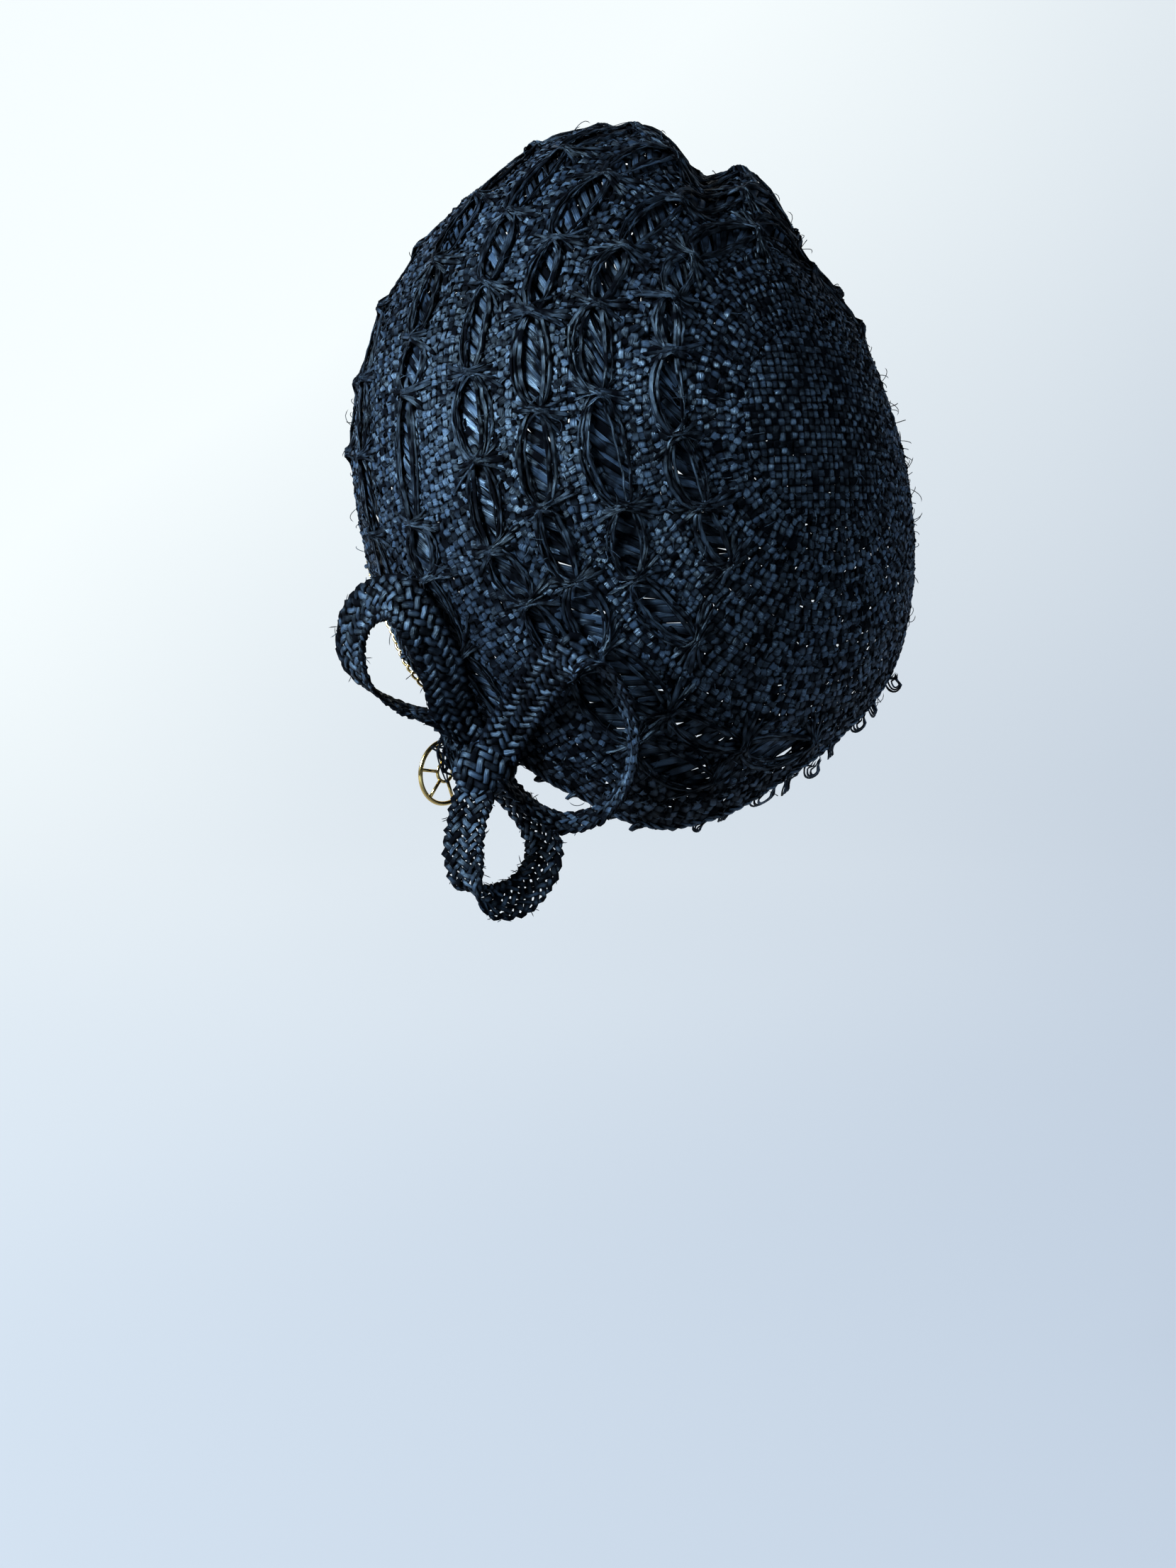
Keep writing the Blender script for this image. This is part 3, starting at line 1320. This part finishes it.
@dataclass
class BowKnot:
    """The braid wrapped round the middle of the bow."""

    centre: np.ndarray
    length: float = 0.022
    height: float = 0.0186
    depth: float = 0.013
    lean: float = math.radians(28.0)
    strands: int = 13
    seed: int = 47

    def build(self) -> bpy.types.Object:
        """Braids a band round a barrel that leans with the wrap."""
        rng = np.random.default_rng(self.seed)
        n = self.strands
        rows = 4 * n + 1
        turn = np.linspace(0.0, 2.0 * math.pi, rows)
        u = (turn[None, :] / (2.0 * math.pi) + np.arange(n)[:, None] / n) % 1.0
        tri, beat = braid(u, n)
        across = tri * (self.length / 2 - 0.0012)
        shrink = np.sqrt(np.maximum(1.0 - (across / (self.length / 2)) ** 2, 0.16))
        lift = 0.0005 * beat - 0.0006
        y = (self.depth / 2 * shrink + lift) * -np.sin(turn)
        z = (self.height / 2 * shrink + lift) * np.cos(turn)
        local = np.stack([across, y, z], axis=-1)
        slope = [across / self.length**2, y / self.depth**2, z / self.height**2]
        out = unit(np.stack(slope, axis=-1))
        c, s = math.cos(self.lean), math.sin(self.lean)
        tip = np.array([[c, 0, -s], [0, 1, 0], [s, 0, c]])
        pts = local @ tip.T + self.centre
        up = out @ tip.T
        pts[:, -1], up[:, -1] = pts[:, 0], up[:, 0]
        width = rng.uniform(0.0019, 0.0026, (n, 1)) * rng.uniform(0.9, 1.08, (n, rows))
        width[:, -1] = width[:, 0]
        return Strands("bow_wrap", pts, up, width, 0.0009, rng.random(n), rise=beat).build()


@dataclass
class Tangle:
    """Loose straw that runs from the bow's knot to the charm's wheel, short of the jump ring.

    Args:
        knot: middle of the bow's knot.
        charm: middle of the charm.
        strands: strands in the tangle.
        steps: points in a strand.
    """

    knot: np.ndarray
    charm: np.ndarray
    strands: int = 12
    steps: int = 46
    seed: int = 59

    def build(self) -> bpy.types.Object:
        """Runs strands from the knot to a tangle over the charm's top and back."""
        rng = np.random.default_rng(self.seed)
        middle = self.charm + np.array([0.0025, -0.006, 0.0075])
        root = self.knot + np.array([-0.0075, -0.001, -0.003])
        lines = []
        for _ in range(self.strands):
            wander = middle + rng.normal(0.0, 1.0, (5, 3)) * np.array([0.0026, 0.0011, 0.0032])
            ends = root + rng.normal(0.0, 0.0011, (2, 3))
            lines.append(through(np.vstack([ends[:1], wander, ends[1:]]), self.steps))
        at = np.array(lines)
        up = np.broadcast_to(np.array([0.0, -1.0, 0.0]), at.shape)
        width = rng.uniform(0.0004, 0.001, (len(lines), 1)) * np.ones((1, at.shape[1]))
        tone = rng.random(len(lines)) * 0.3
        return Strands("charm_tie", at, up, width, 0.0004, tone).build()


# Gold.


@dataclass
class RimChain:
    """Fine curb chain along the rim.

    Args:
        form: crown that the chain follows.
        pitch: distance from link to link.
        long: length of a link.
        wide: width of a link.
        wire: thickness of the wire.
        axis_lean: how far the rim's axis leans back from the vertical.
        first: bearing at which the chain starts, in degrees from the front.
        last: bearing at which it ends.
        outward: distance of the chain's middle beyond the rim.
        inward: how far it lies inside the crown's outer face.
        curl: turn of a link's ends about its length, in radians.
        roll: turn of each link about the chain.
        slant: turn of each link in its own plane.
    """

    form: CrownForm
    pitch: float = 0.0034
    long: float = 0.0056
    wide: float = 0.0039
    wire: float = 0.00095
    axis_lean: float = math.radians(43.0)
    first: float = -146.0
    last: float = 78.0
    outward: float = 0.0026
    inward: float = 0.0009
    curl: float = 0.55
    roll: float = math.radians(38.0)
    slant: float = math.radians(14.0)
    seed: int = 3

    def path(self) -> tuple[np.ndarray, np.ndarray]:
        """Evenly spaced places along the chain, and the normals there."""
        lean = self.axis_lean
        axis = np.array([0.0, -math.sin(lean), math.cos(lean)])
        fore = np.array([0.0, math.cos(lean), math.sin(lean)])
        right = np.array([1.0, 0.0, 0.0])
        bearing = np.radians(np.linspace(self.first, self.last, 500))
        flat = np.cos(bearing)[:, None] * fore + np.sin(bearing)[:, None] * right
        turns = np.zeros(len(bearing))
        for k, way in enumerate(flat):
            low, high = math.radians(60.0), math.radians(140.0)
            for _ in range(22):
                middle = (low + high) / 2.0
                d = axis * math.cos(middle) + way * math.sin(middle)
                tilt = math.acos(max(-1.0, min(1.0, float(d @ self.form.axis))))
                turn = math.atan2(float(d @ self.form.side), float(d @ self.form.up))
                if tilt < self.form.rim_tilt_at(turn):
                    low = middle
                else:
                    high = middle
            d = axis * math.cos(low) + way * math.sin(low)
            turns[k] = math.atan2(float(d @ self.form.side), float(d @ self.form.up))
        tilt = self.form.rim_tilt(turns)
        sunk = np.full(len(turns), -self.inward)
        edge, n = self.form.place(tilt, turns, sunk)
        inner = self.form.place(tilt - 0.01, turns, sunk)[0]
        at = edge + unit(edge - inner) * self.outward
        run = travel(at)
        count = int(run[-1] / self.pitch)
        y = (np.arange(count) + 0.5) * self.pitch
        return at_lengths(y, run, at), unit(at_lengths(y, run, n))

    def build(self) -> bpy.types.Object:
        """Links laid along the path, each turned and twisted to lie in the next."""
        link = bmesh.new()
        bmesh.ops.create_circle(link, segments=5, radius=self.wire / 2.0)
        bmesh.ops.rotate(link, verts=link.verts, matrix=Matrix.Rotation(math.pi / 2, 3, "X"))
        bmesh.ops.translate(link, verts=link.verts, vec=((self.wide - self.wire) / 2.0, 0.0, 0.0))
        bmesh.ops.spin(
            link, geom=link.edges[:] + link.verts[:], axis=(0, 0, 1), cent=(0, 0, 0),
            angle=2.0 * math.pi, steps=12, use_merge=True,
        )
        stretch = (self.long - self.wire) / (self.wide - self.wire)
        for v in link.verts:
            radial = Vector((v.co.x, v.co.y, 0.0))
            ring = radial.normalized() * (self.wide - self.wire) / 2.0
            v.co = Vector((ring.x, ring.y * stretch, 0.0)) + (v.co - ring)
            twist = Matrix.Rotation(self.curl * v.co.y / (self.long / 2.0), 3, "Y")
            v.co = twist @ v.co
        bmesh.ops.recalc_face_normals(link, faces=link.faces)
        link_mesh = bpy.data.meshes.new("link")
        link.to_mesh(link_mesh)
        link.free()
        where, normal = self.path()
        along = unit(np.gradient(where, axis=0))
        chain = bmesh.new()
        rng = np.random.default_rng(self.seed)
        for p, n, a in zip(where, normal, along):
            start = len(chain.verts)
            chain.from_mesh(link_mesh)
            chain.verts.ensure_lookup_table()
            side = np.cross(a, n)
            spot = Matrix((Vector(side), Vector(a), Vector(n))).transposed().to_4x4()
            spot.translation = Vector(p)
            roll = Matrix.Rotation(self.roll + rng.normal(0.0, 0.08), 4, "Y")
            slant = Matrix.Rotation(self.slant, 4, "Z")
            bmesh.ops.transform(chain, matrix=spot @ roll @ slant, verts=chain.verts[start:])
        bpy.data.meshes.remove(link_mesh)
        return as_piece("rim_chain_links", chain)


@dataclass
class Charm:
    """The wheel-shaped charm and its jump ring, spun from round wire.

    Args:
        centre: middle of the wheel.
        diameter: the wheel's outer size.
        wire: thickness of its rim.
        hub: outer size of its hub.
        bar: thickness of its hub and its bars.
        bars: number of bars.
        turn: turn of the charm about the vertical.
        lean: how far it leans to the side.
        ring: outer size of the jump ring.
        ring_wire: thickness of the jump ring.
        clearance: distance of the jump ring's middle beyond the middle of the wheel's wire.
        segments: sides of round wire.
    """

    centre: np.ndarray
    diameter: float = 0.0224
    wire: float = 0.0015
    hub: float = 0.0074
    bar: float = 0.0011
    bars: int = 6
    turn: float = math.radians(44.0)
    lean: float = math.radians(10.0)
    ring: float = 0.0046
    ring_wire: float = 0.0008
    clearance: float = 0.0003
    segments: int = 12

    def _hoop(
        self, bm: bmesh.types.BMesh, middle: float, wire: float, place: Matrix, steps: int
    ) -> None:
        """Adds a closed hoop of round wire.

        Args:
            bm: shape that the hoop is added to.
            middle: radius of the wire's middle line.
            wire: thickness of the wire.
            place: where the hoop goes once it is spun about Z.
            steps: pieces in the round.
        """
        before = set(bm.verts)
        made = bmesh.ops.create_circle(bm, segments=self.segments, radius=wire / 2.0)["verts"]
        bmesh.ops.rotate(bm, verts=made, matrix=Matrix.Rotation(math.pi / 2, 3, "X"))
        bmesh.ops.translate(bm, verts=made, vec=(middle, 0.0, 0.0))
        edges = list({e for v in made for e in v.link_edges})
        bmesh.ops.spin(
            bm, geom=made + edges, axis=(0, 0, 1), cent=(0, 0, 0), angle=2.0 * math.pi,
            steps=steps, use_merge=True,
        )
        new = [v for v in bm.verts if v not in before]
        bmesh.ops.transform(bm, matrix=place, verts=new)

    def build(self) -> tuple[bpy.types.Object, bpy.types.Object]:
        """The wheel and the jump ring."""
        stand = Matrix.Rotation(self.turn, 4, "Z") @ Matrix.Rotation(self.lean, 4, "Y")
        upright = Matrix.Rotation(math.pi / 2, 4, "X")
        spin = Matrix.Translation(Vector(self.centre)) @ stand @ upright
        rim = (self.diameter - self.wire) / 2.0
        hub = (self.hub - self.bar) / 2.0
        wheel = bmesh.new()
        self._hoop(wheel, rim, self.wire, Matrix.Identity(4), 64)
        self._hoop(wheel, hub, self.bar, Matrix.Identity(4), 36)
        for k in range(self.bars):
            made = bmesh.ops.create_cone(
                wheel, cap_ends=True, segments=self.segments, radius1=self.bar / 2,
                radius2=self.bar / 2, depth=rim - hub,
            )["verts"]
            angle = 2.0 * math.pi * (k + 0.5) / self.bars
            lay = (
                Matrix.Rotation(angle, 4, "Z")
                @ Matrix.Translation((0.0, (rim + hub) / 2.0, 0.0))
                @ Matrix.Rotation(math.pi / 2, 4, "X")
            )
            bmesh.ops.transform(wheel, matrix=lay, verts=made)
        jump = bmesh.new()
        above = Matrix.Translation((0.0, rim + self.clearance, 0.0))
        place = above @ Matrix.Rotation(math.pi / 2, 4, "Y")
        self._hoop(jump, (self.ring - self.ring_wire) / 2.0, self.ring_wire, place, 28)
        for bm in (wheel, jump):
            bmesh.ops.transform(bm, matrix=spin, verts=bm.verts)
            bmesh.ops.recalc_face_normals(bm, faces=bm.faces)
        return as_piece("charm_wheel", wheel), as_piece("charm_ring", jump)


# The studio.


@dataclass(frozen=True)
class Lamp:
    """A soft square light that faces the hat.

    Args:
        name: the light's name.
        at: its place.
        power: its strength in watts.
        tint: its colour.
        size: length of its sides.
    """

    name: str
    at: tuple[float, float, float]
    power: float
    tint: tuple[float, float, float]
    size: float = 0.5

    def build(self) -> None:
        """Hangs the light."""
        data = bpy.data.lights.new(self.name, "AREA")
        data.size = self.size
        data.energy = self.power
        data.color = self.tint
        lamp = bpy.data.objects.new(self.name, data)
        lamp.location = self.at
        aim = Vector((0.0, 0.0, -0.1)) - Vector(self.at)
        lamp.rotation_euler = aim.to_track_quat("-Z", "Y").to_euler()
        bpy.context.scene.collection.objects.link(lamp)


LAMPS = (
    Lamp("key", (-1.3, -0.72, 0.62), 130.0, (0.77, 0.91, 1.0)),
    Lamp("fill", (1.5, -0.6, 0.35), 26.0, (0.64, 0.83, 1.0)),
)


@dataclass
class Studio:
    """Pale sweep, soft light and the camera.

    Args:
        floor: height of the sweep's floor.
        half: half the floor's length and width.
        shift: how far the floor's middle lies in front of the hat's.
        curve: radius with which the floor curves up into the wall.
        wall: height of the flat wall above the curve.
        air: colour of the light from all round.
        air_strength: its strength.
        gamma: the picture's gamma.
        camera_at: the camera's place.
        pitch: how far it is raised from looking straight down.
        lens: its focal length in millimetres.
    """

    floor: float = -0.464
    half: float = 2.0
    shift: float = -0.8
    curve: float = 0.8
    wall: float = 1.6
    air: tuple[float, float, float] = (0.72, 0.86, 1.0)
    air_strength: float = 0.1
    gamma: float = 0.8
    camera_at: tuple[float, float, float] = (-0.015, -0.768, -0.0851)
    pitch: float = math.radians(81.4)
    lens: float = 50.0

    def sweep(self) -> bpy.types.Object:
        """Floor that curves up into a back wall."""
        bm = bmesh.new()
        bmesh.ops.create_grid(bm, x_segments=1, y_segments=1, size=self.half)
        bmesh.ops.translate(bm, verts=bm.verts, vec=(0.0, self.shift, self.floor))
        back = [e for e in bm.edges if min(v.co.y for v in e.verts) > 1.0]
        turn_at = (0.0, self.half + self.shift, self.floor + self.curve)
        bmesh.ops.spin(bm, geom=back, axis=(1, 0, 0), cent=turn_at, angle=math.pi / 2, steps=16)
        top = [v for v in bm.verts if v.co.z > self.floor + self.curve - 0.001]
        ridge = [e for e in bm.edges if all(v in top for v in e.verts)]
        raised = bmesh.ops.extrude_edge_only(bm, edges=ridge)["geom"]
        lifted = [v for v in raised if isinstance(v, bmesh.types.BMVert)]
        bmesh.ops.translate(bm, verts=lifted, vec=(0, 0, self.wall))
        bmesh.ops.recalc_face_normals(bm, faces=bm.faces)
        piece = as_piece("sweep", bm)
        piece.data.materials.append(PaperFinish().make())
        return piece

    def build(self) -> None:
        """Sets up the world, the lights and the camera."""
        self.sweep()
        world = bpy.data.worlds.new("studio")
        world.use_nodes = True
        back = world.node_tree.nodes["Background"]
        back.inputs["Color"].default_value = (*self.air, 1.0)
        back.inputs["Strength"].default_value = self.air_strength
        bpy.context.scene.world = world
        bpy.context.scene.view_settings.view_transform = "Standard"
        bpy.context.scene.view_settings.gamma = self.gamma
        for lamp in LAMPS:
            lamp.build()
        data = bpy.data.cameras.new("camera")
        data.lens = self.lens
        data.sensor_width = SENSOR
        data.sensor_fit = "AUTO"
        data.clip_start = 0.01
        camera = bpy.data.objects.new("camera", data)
        camera.location = self.camera_at
        camera.rotation_euler = (self.pitch, 0.0, 0.0)
        bpy.context.scene.collection.objects.link(camera)
        bpy.context.scene.camera = camera


# The rings of knots from the pole outwards, with the pixels of the knots read in the photograph.
RINGS = (
    KnotRing(
        tilt=33, back=-60, on=140,
        seen=((974, 364), (947, 420), (947, 497), (958, 615), (991, 715), (1029, 794)),
    ),
    KnotRing(
        tilt=46, back=-60, on=160,
        seen=((882, 352), (842, 430), (846, 556), (882, 715), (899, 815)),
    ),
    KnotRing(
        tilt=57, back=-65, on=200,
        seen=((787, 340), (753, 442), (758, 579), (770, 715), (811, 821), (852, 915)),
    ),
    KnotRing(
        tilt=67, back=-65, on=172,
        seen=((722, 303), (688, 402), (665, 528), (676, 650), (699, 774), (746, 850)),
    ),
    KnotRing(
        tilt=81, back=-65, on=150,
        seen=((588, 479), (576, 556), (588, 738), (605, 815)),
    ),
    KnotRing(tilt=99, back=-70, on=112),
    KnotRing(tilt=114, back=-70, on=92),
    KnotRing(tilt=127, back=-60, on=62),
)
FRAY_SEED = 7


def main() -> None:
    """Builds the hat's pieces in order and reports each."""
    logging.basicConfig(level=logging.INFO, format="%(message)s")
    studio = Studio()
    studio.build()
    straw = StrawFinish().make()
    bow_straw = StrawFinish(name="dyed_straw_bow", gloss=0.46).make()
    gold = GoldFinish().make()
    form = CrownForm()
    work = Openwork(RINGS, form, studio)
    for k, piece in enumerate(CrownWeave(form, work).build()):
        dress(piece, straw, Slot.STRAW, *(["crown"] if k == 0 else []))
    knots = KnotWork(form, work)
    dress(knots.bundles(), straw, Slot.STRAW)
    dress(knots.wraps(), straw, Slot.STRAW)
    edge = RimEdge(form)
    dress(edge.cord(), straw, Slot.STRAW)
    dress(edge.loops(), straw, Slot.STRAW)
    dress(edge.fibres(), straw, Slot.STRAW)
    low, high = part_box("bow_knot")
    knot = (np.array(low) + np.array(high)) / 2.0
    hairs: list[tuple[np.ndarray, np.ndarray]] = []
    for name, node, reach, stations, snug in (
        ("bow_left", "bow_loop_left", 0.048, LEFT, 1.0),
        ("bow_right", "bow_loop_right", 0.050, RIGHT, 1.0),
        ("bow_lower", "bow_loop_lower", 0.048, LOWER, 0.78),
    ):
        strap = BowLoop(name, reach, stations, knot, form, snug)
        dress(strap.build(), bow_straw, Slot.BOW, node)
        hairs.append(strap.frays())
    lines, up = (np.concatenate(part) for part in zip(*hairs))
    tone = np.random.default_rng(FRAY_SEED).random(len(lines))
    width = np.full(lines.shape[:2], HAIR_WIDTH)
    frays = Strands("bow_frays", lines, up, width, HAIR_THICKNESS, tone)
    dress(frays.build(), bow_straw, Slot.BOW)
    dress(BowKnot(knot).build(), bow_straw, Slot.BOW, "bow_knot")
    dress(RimChain(form).build(), gold, Slot.GOLD, "rim_chain")
    low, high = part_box("medallion")
    charm = (np.array(low) + np.array(high)) / 2.0
    dress(Tangle(knot, charm).build(), bow_straw, Slot.BOW)
    wheel, ring = Charm(charm).build()
    dress(wheel, gold, Slot.GOLD, "medallion")
    dress(ring, gold, Slot.GOLD, "medallion_ring")


if __name__ == "__main__":
    main()
